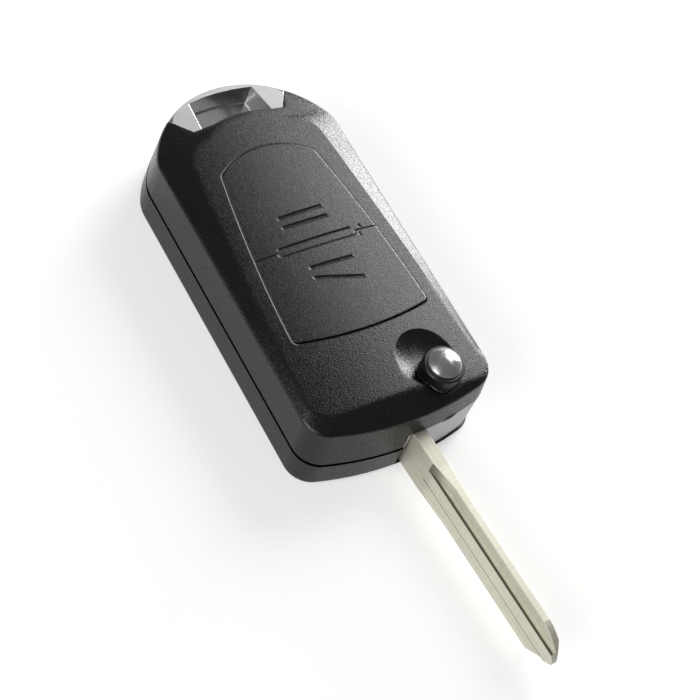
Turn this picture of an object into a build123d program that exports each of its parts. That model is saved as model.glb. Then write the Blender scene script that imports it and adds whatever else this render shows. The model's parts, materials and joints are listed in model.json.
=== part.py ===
from build123d import *
import os
from math import sqrt

# Flip key remote shell: two-button case, key-ring arch and a swing-out blade.
# Frame: +X to the right across the case, +Y towards the key ring, +Z out of the front.
# The origin is on the back face, under the middle of the case.
# It is drawn with the blade open. The blade folds by turning about the release button.

# Case outline
case_half_width_blade_end = 18.85
case_half_width_ring_end = 18.25
blade_end_y = -37.3
ring_end_y = 37.4
blade_end_arc = 60.0
ring_end_arc = 19.8
ring_end_least_arc_margin = 1.2
blade_corner = 5.0
ring_corner = 7.0

# Case heights
parting_z = 6.3
wall_top_z = 14.8
bevel_rise = 1.65
crown_z = 17.3
crown_radius = 120.0
bevel_edge_radius = 0.8
back_edge_radius = 1.4

# Draft of the two ends, and the bevel round the front face
blade_end_draft = 1.0
ring_end_draft = 0.35
bevel_width_blade_end = 1.7
bevel_width_ring_end = 5.0
bevel_length_blade_end = 3.0
bevel_length_ring_end = 5.5

# Walls, and the joint between the two covers
wall = 1.6
floor = 1.6
face_thickness = 1.6
seam_gap = 0.35
seam_depth = 0.6
lip_height = 1.2
lip_thickness = 0.8
lip_gap = 0.08

# Pivot of the blade head
pivot_x = 8.3
pivot_from_end = 7.1
open_lean = 3.0
fold_turn = 178.0

# Key blade
blade_thickness = 2.6
blade_height = 8.8
blade_bottom_z = 1.2
blade_reach = 51.5
blade_offset = 6.07
blade_shoulder = 5.0
step_depth = 1.0
step_height = 2.4
step_start = 12.15
step_ramp = 6.0
shelf_depth = 0.4
shelf_height = 3.3
shelf_start = 12.3
shelf_ramp = 9.0
tip_nose_z = 6.0
tip_nose_height = 0.6
tip_lower_length = 5.7
tip_upper_length = 6.0
tip_round_length = 1.5
tip_round_share = 0.47
tip_bevel_length = 3.2
tip_bevel_width = 1.1
tang_height = 5.4
tang_length = 3.85
tang_gap = 0.03
pin_radius = 0.75
pin_back = 3.9

# Blade head and the pocket that it turns in
head_radius = 9.1
head_side_wall = 0.9
head_end = 6.75
root_relief = 0.55
head_inset = 0.45
head_lift = 0.3
head_edge = 0.35
pocket_gap = 0.2
pocket_wall = 1.2
groove_side_gap = 0.35
groove_end_gap = 0.7
hub_bore = 3.85
hub_floor = 2.0
hub_post_radius = 3.0
running_gap = 0.06
washer_radius = 5.5
washer_thickness = 0.2
bearing_radius = 6.15
bearing_depth = 0.6
bearing_gap = 0.1

# Release button
button_radius = 3.75
button_top_z = 18.9
button_travel = 1.8
stem_radius = 1.6
lug_reach = 4.9
lug_width = 2.0
lug_height = 2.0
lug_gap = 0.15
cap_radius = 3.0
cap_rim_height = 0.45
cap_dome_height = 1.25
cap_peg_radius = 1.5
cap_peg_length = 2.0

# Thumb dish beside the release button
dish_x = 7.6
dish_from_end = 10.1
dish_radius = 5.9
dish_depth = 1.7

# Coring under the front face, round the button's guide
guide_wall = 2.2
coring_outer_radius = 10.2
coring_height = 3.4

# Torsion spring round the stem
spring_radius = 2.85
spring_wire = 0.7
spring_turns = 5.0

# Key pad
pad_top_from_end = 16.0
pad_top_half_width = 9.6
pad_top_corner_from_end = 19.3
pad_mid_half_width = 12.45
pad_bottom_half_width = 13.85
pad_bottom_corner_y = -16.9
pad_bottom_y = -18.6
pad_corner = 1.2
pad_split_y = 0.1
pad_gap = 0.16
tongue_half_width = 7.8
tongue_drop = 0.75
tongue_rise = 0.8
tongue_corner = 0.55
pad_bottom_gap = 0.35
key_proud = 0.12
key_travel = 0.4
key_shell = 1.0
flange_reach = 0.7
flange_thickness = 0.7
seat_gap = 0.05
well_margin = 1.1

# Rubber membrane under the keys
ledge_z = 12.2
membrane_sheet = 0.7
membrane_margin = 0.8
plunger_radius = 3.2
plunger_chamfer = 0.2
plunger_y = (10.0, -8.5)

# Key-ring arch
window_half_width = 7.1
window_top_half_width = 6.3
arch_bar = 1.7
window_corner_drop = 0.6
window_edge_from_end = 8.3
window_edge_arc = 25.0
arch_bottom_z = 2.0
arch_band = 0.9
arch_band_top_z = 13.2
arch_half_width = 14.6
arch_step_z = 9.9
arch_step = 0.25
arch_top_ring_z = 14.2
arch_top_foot_z = 15.5
foot_half_width = 9.3
foot_outer_half_width = 12.2
foot_inner_from_end = 8.8
foot_outer_from_end = 4.3
arch_gap = 0.12

# Board tray, and the bay that it frames
bay_top_z = 12.95
bay_end_wall = 2.2
tray_bottom_z = 11.2
tray_gap = 0.15
tray_frame = 4.6
tray_screw_radius = 0.6
tray_screw_head_radius = 1.0
tray_screw_head_height = 0.6
tray_screw_bite = 1.4
tray_screw_slot = 0.3
screw_end_margin = 2.7

# Board rests in the back cover
rest_radius = 1.1
rest_height = 2.6
rest_end_margin = 3.6

# Places that follow from the sizes above
pivot_y = blade_end_y + pivot_from_end
dish_y = blade_end_y + dish_from_end
window_outer_y = ring_end_y - arch_bar
window_corner_y = window_outer_y - window_corner_drop
window_edge_y = ring_end_y - window_edge_from_end
foot_inner_y = ring_end_y - foot_inner_from_end
foot_outer_y = ring_end_y - foot_outer_from_end
bay_end_y = foot_inner_y - bay_end_wall
pad_top_y = ring_end_y - pad_top_from_end
pad_top_corner_y = ring_end_y - pad_top_corner_from_end
ring_end_screw_y = bay_end_y - screw_end_margin
ring_end_rest_y = bay_end_y - rest_end_margin
tray_screw_places = ((-15.4, -13.5), (-12.4, ring_end_screw_y), (8.6, ring_end_screw_y))
rest_places = ((-15.2, pivot_y - 0.3), (-15.0, ring_end_rest_y), (8.2, ring_end_rest_y), (7.6, -13.2))
tongue_low_y = pad_split_y - tongue_drop
tongue_high_y = pad_split_y + tongue_rise
fold_lean = open_lean + fold_turn - 180
blade_top_z = blade_bottom_z + blade_height
pocket_floor_z = blade_bottom_z - head_lift
pocket_roof_z = blade_top_z + pocket_gap
head_left = blade_offset + blade_thickness / 2 + head_side_wall
pocket_radius = sqrt(head_left**2 + head_end**2) + pocket_gap
groove_inner = blade_offset - blade_thickness / 2 - groove_side_gap
groove_length = blade_reach + groove_end_gap
case_width = 2 * case_half_width_blade_end
hub_floor_z = blade_bottom_z + hub_floor
lug_bottom_z = blade_top_z - bearing_depth + bearing_gap
lug_top_z = lug_bottom_z + lug_height
button_bottom_z = lug_bottom_z
stem_bottom_z = hub_floor_z + button_travel + bearing_gap
lip_inner_radius = lug_reach + lug_gap
key_underside = flange_thickness + face_thickness + seat_gap
outside = case_width + ring_end_y - blade_end_y
same_place = 0.01
UPWARD = (Align.CENTER, Align.CENTER, Align.MIN)


def sagitta(half_chord, radius):
    """Height of an arc over its chord."""
    return radius - sqrt(radius**2 - half_chord**2)


def case_outline(side=0.0, blade_end=0.0, ring_end=0.0, side_ring=None):
    """Plan outline of the case, drawn in from its sides and ends."""
    side_ring = side if side_ring is None else side_ring
    blade_x = case_half_width_blade_end - side
    ring_x = case_half_width_ring_end - side_ring
    low_y = blade_end_y + blade_end
    high_y = ring_end_y - ring_end
    low_corner_y = low_y + sagitta(blade_x, blade_end_arc)
    ring_radius = max(ring_end_arc, ring_x + ring_end_least_arc_margin)
    high_corner_y = high_y - sagitta(ring_x, ring_radius)
    edges = [
        ThreePointArc((-blade_x, low_corner_y), (0, low_y), (blade_x, low_corner_y)),
        Line((blade_x, low_corner_y), (ring_x, high_corner_y)),
        ThreePointArc((ring_x, high_corner_y), (0, high_y), (-ring_x, high_corner_y)),
        Line((-ring_x, high_corner_y), (-blade_x, low_corner_y)),
    ]
    face = make_face(edges)
    face = fillet(face.vertices().sort_by(Axis.Y)[:2], blade_corner)
    ring_corners = [v for v in face.vertices() if abs(v.Y - high_corner_y) < same_place]
    return fillet(ring_corners, ring_corner)


def pad_outline(inset=0.0, bottom_inset=0.0):
    """Outline of the two-key pad, drawn in by a gap."""
    top_x = pad_top_half_width - inset
    top_y = pad_top_corner_y - inset
    low_x = pad_bottom_half_width - inset
    low_y = pad_bottom_corner_y + bottom_inset
    mid_x = pad_mid_half_width - inset
    edges = [
        ThreePointArc((-low_x, low_y), (0, pad_bottom_y + bottom_inset), (low_x, low_y)),
        ThreePointArc((low_x, low_y), (mid_x, 0), (top_x, top_y)),
        ThreePointArc((top_x, top_y), (0, pad_top_y - inset), (-top_x, top_y)),
        ThreePointArc((-top_x, top_y), (-mid_x, 0), (-low_x, low_y)),
    ]
    face = make_face(edges)
    return fillet(face.vertices(), max(pad_corner - inset, pad_corner / 2))


def pad_grown(margin):
    """Outline of the pad with a margin all round."""
    return pad_outline(-margin, -margin)


def slab(face, low_z, high_z):
    """Straight solid of a plan face between two heights."""
    return extrude(Pos(0, 0, low_z) * face, amount=high_z - low_z)


def post(radius, low_z, high_z):
    """Upright cylinder between two heights."""
    return Pos(0, 0, low_z) * Cylinder(radius, high_z - low_z, align=UPWARD)


def box_between(low, high):
    """Box from its lowest to its highest corner."""
    size = [b - a for a, b in zip(low, high)]
    centre = [(a + b) / 2 for a, b in zip(low, high)]
    return Pos(*centre) * Box(*size)


def at_pivot(shape, turn=0.0):
    """Place a shape drawn round the pivot, turned about it."""
    return Pos(pivot_x, pivot_y, 0) * Rot(0, 0, turn) * shape


def crown_solid(lift=0.0):
    """Everything under the crowned front face, raised or lowered."""
    top = crown_z + lift
    side_z = top - sagitta(case_half_width_blade_end, crown_radius)
    half = case_half_width_blade_end
    profile = make_face([
        ThreePointArc((-half, side_z), (0, top), (half, side_z)),
        Polyline((half, side_z), (half, 0), (-half, 0), (-half, side_z)),
    ])
    length = ring_end_y - blade_end_y
    return Pos(0, ring_end_y + wall, 0) * extrude(Plane.XZ * profile, amount=length + 2 * wall)


def front_outer():
    """Outer form of the front cover: drafted wall, bevel and crowned face."""
    seat = Pos(0, 0, parting_z) * case_outline()
    edge = Pos(0, 0, wall_top_z) * case_outline(0, blade_end_draft, ring_end_draft)
    top = Pos(0, 0, wall_top_z + 2 * bevel_rise) * case_outline(
        2 * bevel_width_blade_end,
        blade_end_draft + 2 * bevel_length_blade_end,
        ring_end_draft + 2 * bevel_length_ring_end,
        2 * bevel_width_ring_end,
    )
    form = loft([seat, edge], ruled=True) + loft([edge, top], ruled=True)
    shoulder = form.edges().filter_by(
        lambda edge: abs(edge.center().Z - wall_top_z) < same_place and edge.bounding_box().size.Z < same_place)
    return fillet(shoulder, bevel_edge_radius) & crown_solid()


def back_outer():
    """Outer form of the back cover, rounded round its flat back face."""
    form = slab(case_outline(), 0, parting_z)
    return fillet(form.faces().sort_by(Axis.Z)[0].edges(), back_edge_radius)


def pocket_zone(grow, low_z, high_z):
    """Room that the head turns in and the folded blade lies in, grown by a wall."""
    turning = at_pivot(post(pocket_radius + grow, low_z, high_z))
    blade_room = box_between((groove_inner - grow, 0, low_z), (outside, groove_length + grow, high_z))
    return turning + at_pivot(blade_room, fold_lean)


def bay_space(shrink, low_z, high_z):
    """Room for a circuit board and its battery, drawn in by a gap."""
    inset = wall + shrink
    room = slab(case_outline(inset, inset + blade_end_draft, inset + ring_end_draft), low_z, high_z)
    room -= pocket_zone(pocket_wall + shrink, low_z, high_z)
    beside_groove = box_between((groove_inner - pocket_wall - shrink, 0, low_z), (outside, 2 * outside, high_z))
    room -= at_pivot(beside_groove, fold_lean)
    end_y = bay_end_y - shrink
    return room - box_between((-outside, end_y, low_z), (outside, outside, high_z))


def key_well(low_z):
    """Room under the front face for the flanges of the keys."""
    room = slab(pad_grown(well_margin), low_z, crown_z)
    return room & crown_solid(-face_thickness)


def window_plan():
    """Plan of the key-ring window as the arch bounds it."""
    low_y = foot_inner_y - wall
    edges = [
        Polyline((-window_top_half_width, window_corner_y), (-window_half_width, foot_inner_y),
                 (-window_half_width, low_y), (window_half_width, low_y),
                 (window_half_width, foot_inner_y), (window_top_half_width, window_corner_y)),
        ThreePointArc((window_top_half_width, window_corner_y), (0, window_outer_y),
                      (-window_top_half_width, window_corner_y)),
    ]
    return make_face(edges)


def window_bulge():
    """Disc whose edge is the covers' side of the key-ring window."""
    return Pos(0, window_edge_y - window_edge_arc) * Circle(window_edge_arc)


def arch_mouth(grow=0.0):
    """Plan of the arch between the covers' lobes before its window, grown by a gap."""
    inner_x = foot_half_width + grow
    outer_x = foot_outer_half_width + grow
    low_y = foot_inner_y - grow
    mouth = make_face(Polyline(
        (-inner_x, low_y), (inner_x, low_y), (outer_x, foot_outer_y), (outer_x, outside),
        (-outer_x, outside), (-outer_x, foot_outer_y), (-inner_x, low_y),
    ))
    return case_outline() & mouth


def arch_side_bands(grow=0.0):
    """Plan of the strip that runs on from the arch round the outside of the lobes, grown by a gap."""
    band = case_outline() - offset(case_outline(), amount=-(arch_band + grow))
    reach = Pos(0, outside / 2 + foot_inner_y) * Rectangle(2 * (arch_half_width + grow), outside)
    return band & reach


def arch_room(low_z, high_z):
    """Room cut from the covers for the arch and the key ring, with the covers' edge left standing."""
    room = slab(arch_mouth(arch_gap), low_z, high_z)
    room += slab(arch_side_bands(arch_gap), low_z, min(high_z, arch_band_top_z + arch_gap))
    return room - slab(window_bulge(), low_z, high_z)


def front_cover():
    """Front cover with its key opening, dish, button guide and blade groove."""
    cover = front_outer()
    cover -= bay_space(0, parting_z - lip_height, bay_top_z)
    cover -= key_well(ledge_z)
    cover -= slab(pad_outline(), ledge_z, outside)
    cover -= pocket_zone(0, 0, pocket_roof_z)
    cover -= button_guide_cuts()
    cover -= dish_cut()
    cover -= arch_room(0, outside)
    cover -= lip_band(lip_gap, parting_z - lip_height, parting_z + lip_height + lip_gap)
    cover -= seam_band()
    for x, y in tray_screw_places:
        cover -= Pos(x, y) * post(tray_screw_radius, bay_top_z - wall, bay_top_z + tray_screw_bite)
    return cover + bearing_lip()


def button_guide_cuts():
    """Bore for the button, ring for its lugs and coring round the guide."""
    bore = post(button_radius + running_gap, 0, outside)
    lug_ring = post(lip_inner_radius, 0, lug_top_z + seat_gap)
    coring_top = pocket_roof_z + coring_height
    coring = post(coring_outer_radius, 0, coring_top) - post(lip_inner_radius + guide_wall, 0, coring_top)
    inset = wall + blade_end_draft
    limit = slab(case_outline(inset, inset, inset), 0, coring_top)
    return at_pivot(bore) + at_pivot(lug_ring) + (at_pivot(coring) & limit)


def bearing_lip():
    """Ring under the pocket roof that the head turns on."""
    low_z = blade_top_z - bearing_depth + bearing_gap
    ring = post(bearing_radius, low_z, pocket_roof_z) - post(lip_inner_radius, low_z, pocket_roof_z)
    return at_pivot(ring)


def dish_cut():
    """Ball that hollows the thumb dish."""
    surface_z = crown_z - sagitta(dish_x, crown_radius)
    ball = (dish_radius**2 + dish_depth**2) / (2 * dish_depth)
    return Pos(dish_x, dish_y, surface_z - dish_depth + ball) * Sphere(ball)


def lip_band(gap, low_z, high_z):
    """Lip that lines the two covers up, with a gap round it."""
    outer_inset = wall - lip_thickness - gap
    band = slab(offset(case_outline(), amount=-outer_inset), low_z, high_z)
    band -= slab(offset(case_outline(), amount=-wall), low_z, high_z)
    band -= pocket_zone(pocket_wall - gap, low_z, high_z)
    end_y = foot_inner_y - 2 * wall + gap
    return band - box_between((-outside, end_y, low_z), (outside, outside, high_z))


def seam_band():
    """Shallow groove along the parting line, outside."""
    top_z = parting_z + seam_gap
    inside = slab(offset(case_outline(), amount=-seam_depth), parting_z, top_z)
    return slab(case_outline(), parting_z, top_z) - inside


def back_cover():
    """Back cover with the pivot post, board rests and alignment lip."""
    cover = back_outer()
    cover -= bay_space(0, floor, parting_z)
    cover -= pocket_zone(0, pocket_floor_z, parting_z)
    cover -= arch_room(arch_bottom_z - seat_gap, parting_z)
    cover -= slab(window_plan() - window_bulge(), 0, parting_z)
    cover += lip_band(0, floor, parting_z + lip_height)
    pivot_post = post(hub_post_radius, pocket_floor_z, hub_floor_z - seat_gap)
    pivot_post -= post(stem_radius + running_gap, hub_floor_z - wall, hub_floor_z)
    half_wire = spring_wire / 2
    spring_slot = box_between((0, -half_wire, hub_floor_z - spring_wire), (outside, half_wire, hub_floor_z))
    cover += at_pivot(pivot_post - spring_slot)
    for x, y in rest_places:
        cover += Pos(x, y) * post(rest_radius, floor, floor + rest_height)
    return cover


def keyring_arch():
    """Chrome arch that takes the key ring, with a sloping top and two feet."""
    arch = slab(arch_mouth(), arch_bottom_z, crown_z) + slab(arch_side_bands(), arch_bottom_z, arch_band_top_z)
    arch -= slab(window_plan(), arch_bottom_z, crown_z)
    arch &= front_outer() + slab(case_outline(), 0, parting_z)
    low_y = foot_inner_y - wall
    slope = (arch_top_foot_z - arch_top_ring_z) / (ring_end_y - foot_inner_y)
    low_top_z = arch_top_ring_z + slope * (ring_end_y - low_y)
    profile = make_face(Polyline((low_y, 0), (ring_end_y + wall, 0), (ring_end_y + wall, arch_top_ring_z),
                                 (low_y, low_top_z), (low_y, 0)))
    under_top = extrude(Plane.YZ * profile, amount=case_half_width_ring_end, both=True)
    upper_window = slab(offset(window_plan(), amount=arch_step), arch_step_z, crown_z)
    return (arch & under_top) - upper_window


def key_form(face):
    """Crowned block of a key between its underside and its top."""
    return (slab(face, ledge_z, crown_z + key_proud) & crown_solid(key_proud)) - crown_solid(-key_underside)


def split_tongue(grow=0.0):
    """Plan of the round-ended tongue in the middle of the split, grown by a gap."""
    width = 2 * (tongue_half_width + grow)
    height = tongue_high_y - tongue_low_y + 2 * grow
    return Pos(0, (tongue_low_y + tongue_high_y) / 2) * RectangleRounded(width, height, tongue_corner + grow)


def across(low_y, high_y):
    """Strip right across the pad between two lines."""
    return Pos(0, (low_y + high_y) / 2) * Rectangle(case_width, high_y - low_y)


def pad_key(side, inner_side):
    """One key of the pad, with its flange and hollow underside, on its side of the split."""
    face = pad_outline(pad_gap, pad_bottom_gap) & side
    flange_face = pad_outline(pad_gap - flange_reach, pad_bottom_gap - flange_reach) & side
    flange = slab(flange_face, ledge_z, crown_z) & crown_solid(-face_thickness - seat_gap)
    flange -= crown_solid(-key_underside)
    inner_face = pad_outline(pad_gap + key_shell, pad_bottom_gap + key_shell) & inner_side
    hollow = slab(inner_face, ledge_z, crown_z) & crown_solid(-key_shell)
    return key_form(face) + flange - hollow + key_rib(inner_face)


def key_rib(face):
    """Cross rib inside a hollow key that presses on the membrane."""
    centre_y = face.center().Y
    half_rib = key_shell / 2
    cross = box_between((-half_rib, -outside, ledge_z), (half_rib, outside, crown_z))
    cross += box_between((-outside, centre_y - half_rib, ledge_z), (outside, centre_y + half_rib, crown_z))
    block = slab(face, ledge_z, crown_z) & crown_solid(-key_shell)
    return (block - crown_solid(-key_underside)) & cross


def lock_key():
    """Key at the ring end of the pad, with the tongue across the split."""
    low_y = pad_split_y + pad_gap / 2
    side = across(low_y, ring_end_y) + split_tongue()
    return pad_key(side, across(low_y + key_shell, ring_end_y))


def unlock_key():
    """Key at the blade end of the pad, with the notch for the tongue."""
    high_y = pad_split_y - pad_gap / 2
    side = across(blade_end_y, high_y) - split_tongue(pad_gap)
    inner_side = across(blade_end_y, high_y - key_shell) - split_tongue(pad_gap + key_shell)
    return pad_key(side, inner_side)


def keypad_membrane():
    """Rubber sheet with one plunger under each key."""
    low_z = ledge_z + seat_gap
    sheet = slab(pad_grown(membrane_margin), low_z, low_z + membrane_sheet)
    plunger_top = crown_z - key_underside - key_travel - seat_gap
    for y in plunger_y:
        plunger = Pos(0, y) * post(plunger_radius, low_z, plunger_top)
        sheet += chamfer(plunger.edges().group_by(Axis.Z)[-1], plunger_chamfer)
    return sheet


def board_tray():
    """Frame that carries the circuit board and holds the membrane up."""
    tray = bay_space(tray_gap, tray_bottom_z, bay_top_z - seat_gap)
    tray -= slab(pad_grown(well_margin + tray_gap), ledge_z, bay_top_z)
    tray -= bay_space(tray_frame, tray_bottom_z, bay_top_z)
    for x, y in tray_screw_places:
        tray -= Pos(x, y) * post(tray_screw_radius + running_gap, tray_bottom_z, bay_top_z)
        head_top_z = tray_bottom_z + tray_screw_head_height
        tray -= Pos(x, y) * post(tray_screw_head_radius + running_gap, tray_bottom_z, head_top_z)
    return tray


def tray_screws():
    """Small screws that hold the tray to the front cover, heads down."""
    screws = []
    for x, y in tray_screw_places:
        head_top_z = tray_bottom_z + tray_screw_head_height
        head = post(tray_screw_head_radius, tray_bottom_z, head_top_z)
        half_slot = tray_screw_slot / 2
        head -= box_between((-outside, -half_slot, 0), (outside, half_slot, tray_bottom_z + tray_screw_slot))
        shank = post(tray_screw_radius, head_top_z, bay_top_z + tray_screw_bite - seat_gap)
        screws.append(Pos(x, y) * (head + shank))
    return Compound(children=screws)


def head_limit():
    """Case form, drawn in, that trims the head when it is open and when it is folded."""
    form = offset(case_outline(), amount=-head_inset)
    solid = slab(form, blade_bottom_z, blade_top_z)
    return solid & at_pivot(Pos(-pivot_x, -pivot_y, 0) * solid, -fold_turn)


def flip_head():
    """Blade head: hub for the button and spring, slot for the tang, flat end faces."""
    disc = post(head_radius, blade_bottom_z, blade_top_z)
    corner_y = sqrt(head_radius**2 - head_left**2)
    block = box_between((-head_left, -outside, blade_bottom_z), (0, corner_y, blade_top_z))
    block &= box_between((-outside, -head_radius, 0), (outside, outside, outside))
    head = at_pivot(disc + block, open_lean) & head_limit()
    head = fillet(head.faces().sort_by(Axis.Z)[0].edges(), head_edge)
    hub = post(hub_bore, hub_floor_z, outside) + post(hub_post_radius + running_gap, 0, outside)
    hub += post(bearing_radius + running_gap, blade_top_z - bearing_depth, outside)
    slot_low_z = lug_bottom_z - button_travel - lug_gap
    half_slot = lug_width / 2 + running_gap
    hub += box_between((-half_slot, -lug_reach - lug_gap, slot_low_z), (half_slot, lug_reach + lug_gap, outside))
    return head - at_pivot(hub + root_slot() + blade_tang(tang_gap) + pin_form(running_gap), open_lean)


def root_slot():
    """Slot in the head for the blade's root, relieved beside its outer face."""
    half = blade_thickness / 2
    return box_between(
        (-blade_offset - half - root_relief, -outside, 0),
        (-blade_offset + half + tang_gap, -blade_shoulder + tang_gap, outside),
    )


def blade_tang(grow=0.0):
    """Tang of the blade in the head's own frame."""
    half = blade_thickness / 2 + grow
    centre_z = blade_bottom_z + blade_height / 2
    half_height = tang_height / 2 + grow
    return box_between(
        (-blade_offset - half, -blade_shoulder - grow, centre_z - half_height),
        (-blade_offset + half, -blade_shoulder + tang_length + grow, centre_z + half_height),
    )


def pin_form(grow=0.0):
    """Cross pin through the side wall and the tang, in the head's own frame."""
    length = head_side_wall + blade_thickness + pin_radius
    pin = Rot(0, 90, 0) * Cylinder(pin_radius + grow, length, align=UPWARD)
    return Pos(-head_left + seat_gap, -pin_back, blade_bottom_z + blade_height / 2) * pin


def side_step(depth, start, ramp, low_z, high_z):
    """Step milled into one face of the blade from a ramp to past the tip."""
    face_x = -blade_thickness / 2
    open_x = face_x - wall
    end = -blade_reach - wall
    profile = make_face(Polyline(
        (open_x, -start), (face_x, -start), (face_x + depth, -start - ramp),
        (face_x + depth, end), (open_x, end), (open_x, -start),
    ))
    return slab(profile, low_z, high_z)


def blade_side_cuts():
    """Deep step along the top and shallow step along the bottom of one face of the blade."""
    deep = side_step(step_depth, step_start, step_ramp, blade_height - step_height, blade_height + wall)
    return deep + side_step(shelf_depth, shelf_start, shelf_ramp, -wall, shelf_height)


def tip_bevel():
    """Wedge off the far face that thins the nose."""
    half = blade_thickness / 2
    nose_x = tip_bevel_width - half
    run = (half - nose_x) / tip_bevel_length
    end = -blade_reach - wall
    profile = make_face(Polyline(
        (half, -blade_reach + tip_bevel_length), (nose_x - run * wall, end), (half + wall, end),
        (half + wall, -blade_reach + tip_bevel_length), (half, -blade_reach + tip_bevel_length),
    ))
    return slab(profile, -wall, blade_height + wall)


def blade_outline():
    """Side view of the blade, with its chamfered and rounded tip."""
    nose_low_z = tip_nose_z - blade_bottom_z - tip_nose_height / 2
    nose_high_z = nose_low_z + tip_nose_height
    nose_y = -blade_reach
    lower_y = nose_y + tip_lower_length
    upper_y = nose_y + tip_upper_length
    middle = (nose_y + tip_round_length, nose_high_z + (blade_height - nose_high_z) * tip_round_share)
    return make_face([
        Polyline((upper_y, blade_height), (-blade_shoulder, blade_height), (-blade_shoulder, 0),
                 (lower_y, 0), (nose_y, nose_low_z), (nose_y, nose_high_z)),
        ThreePointArc((nose_y, nose_high_z), middle, (upper_y, blade_height)),
    ])


def key_blade():
    """Uncut blade: the same two steps on both faces turned about, a thin nose and a tang for the head."""
    blade = extrude(Plane.YZ * blade_outline(), amount=blade_thickness / 2, both=True)
    near_side = blade_side_cuts()
    far_side = Pos(0, 0, blade_height) * Rot(0, 180, 0) * near_side
    blade = Pos(-blade_offset, 0, blade_bottom_z) * (blade - near_side - far_side - tip_bevel())
    return at_pivot(blade + blade_tang() - pin_form(running_gap), open_lean)


def blade_pin():
    """Cross pin that keeps the blade in the head."""
    return at_pivot(pin_form(), open_lean)


def pivot_washer():
    """Thin washer under the head, round the pivot post."""
    ring = post(washer_radius, pocket_floor_z, pocket_floor_z + washer_thickness)
    return at_pivot(ring - post(hub_post_radius + running_gap, 0, outside))


def flip_spring():
    """Coiled torsion spring between the pivot post and the button."""
    low_z = hub_floor_z + seat_gap + spring_wire / 2
    height = button_bottom_z - seat_gap - spring_wire / 2 - low_z
    path = Helix(height / spring_turns, height, spring_radius)
    section = Plane(path @ 0, z_dir=path % 0) * Circle(spring_wire / 2)
    coil = sweep(section, path=path, is_frenet=True)
    return at_pivot(Pos(0, 0, low_z) * coil)


def release_button():
    """Button skirt with two lugs that lock the head, and a stem through the spring."""
    skirt = post(button_radius, button_bottom_z, button_top_z)
    skirt = chamfer(skirt.edges().group_by(Axis.Z)[-1], cap_rim_height / 2)
    button = skirt + post(stem_radius, stem_bottom_z, button_bottom_z)
    half = lug_width / 2
    lugs = box_between((-half, -outside, lug_bottom_z), (half, outside, lug_top_z))
    button += lugs & post(lug_reach, 0, outside)
    button -= post(cap_peg_radius, button_top_z - cap_peg_length, outside)
    return at_pivot(button, open_lean)


def release_cap():
    """Domed cap on the button, with a peg into it."""
    dome_z = button_top_z + cap_rim_height
    ball = (cap_radius**2 + cap_dome_height**2) / (2 * cap_dome_height)
    dome = Pos(0, 0, dome_z + cap_dome_height - ball) * Sphere(ball)
    dome &= post(cap_radius, dome_z, dome_z + cap_dome_height + wall)
    cap = dome + post(cap_radius, button_top_z, dome_z)
    cap += post(cap_peg_radius, button_top_z - cap_peg_length, button_top_z)
    return at_pivot(cap)


pieces = {
    "front_cover": front_cover,
    "back_cover": back_cover,
    "keyring_arch": keyring_arch,
    "lock_key": lock_key,
    "unlock_key": unlock_key,
    "keypad_membrane": keypad_membrane,
    "board_tray": board_tray,
    "tray_screws": tray_screws,
    "flip_head": flip_head,
    "key_blade": key_blade,
    "blade_pin": blade_pin,
    "pivot_washer": pivot_washer,
    "flip_spring": flip_spring,
    "release_button": release_button,
    "release_cap": release_cap,
}

os.makedirs("parts", exist_ok=True)
for name, make_piece in pieces.items():
    solid = make_piece()
    export_step(solid, f"parts/{name}.step")
    print(name, len(solid.solids()), round(solid.volume, 1), solid.is_valid)
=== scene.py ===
import json
import math

import bmesh
import bpy
from bpy.props import FloatProperty, FloatVectorProperty, PointerProperty
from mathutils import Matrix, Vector

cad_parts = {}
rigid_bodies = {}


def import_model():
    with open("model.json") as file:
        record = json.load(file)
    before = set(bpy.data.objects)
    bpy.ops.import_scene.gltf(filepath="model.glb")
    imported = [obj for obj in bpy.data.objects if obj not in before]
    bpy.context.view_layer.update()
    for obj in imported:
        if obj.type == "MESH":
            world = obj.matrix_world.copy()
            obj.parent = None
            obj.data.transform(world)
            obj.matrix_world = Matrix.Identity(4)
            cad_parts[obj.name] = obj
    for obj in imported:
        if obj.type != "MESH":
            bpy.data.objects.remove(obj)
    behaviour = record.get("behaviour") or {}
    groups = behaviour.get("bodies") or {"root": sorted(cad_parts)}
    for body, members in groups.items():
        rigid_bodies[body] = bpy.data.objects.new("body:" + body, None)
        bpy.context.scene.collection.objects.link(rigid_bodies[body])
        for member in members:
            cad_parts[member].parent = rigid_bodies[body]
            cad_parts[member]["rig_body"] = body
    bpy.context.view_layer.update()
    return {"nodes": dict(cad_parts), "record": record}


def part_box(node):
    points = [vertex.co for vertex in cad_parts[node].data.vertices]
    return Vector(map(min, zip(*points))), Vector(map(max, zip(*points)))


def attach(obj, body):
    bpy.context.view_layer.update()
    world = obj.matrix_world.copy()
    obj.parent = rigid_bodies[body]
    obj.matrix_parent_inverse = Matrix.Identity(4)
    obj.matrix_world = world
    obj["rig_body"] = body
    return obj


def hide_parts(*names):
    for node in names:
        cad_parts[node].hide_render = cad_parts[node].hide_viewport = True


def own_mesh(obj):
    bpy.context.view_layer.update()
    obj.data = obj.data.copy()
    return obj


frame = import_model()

bl_info = {
    "name": "Flip Key Remote Shell",
    "version": (1, 0, 0),
    "blender": (4, 5, 0),
    "location": "View3D > Sidebar > Flip Key",
    "description": "Finishes, key marks and studio for a flip key remote shell",
    "category": "Object",
}

MM = 0.001
WHITE = (1.0, 1.0, 1.0, 1.0)
NOISE_MIDDLE = 0.5


def joint_of(name):
    """Joint of the frame's record, by its name."""
    return next(joint for joint in frame["record"]["behaviour"]["joints"] if joint["name"] == name)


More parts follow.
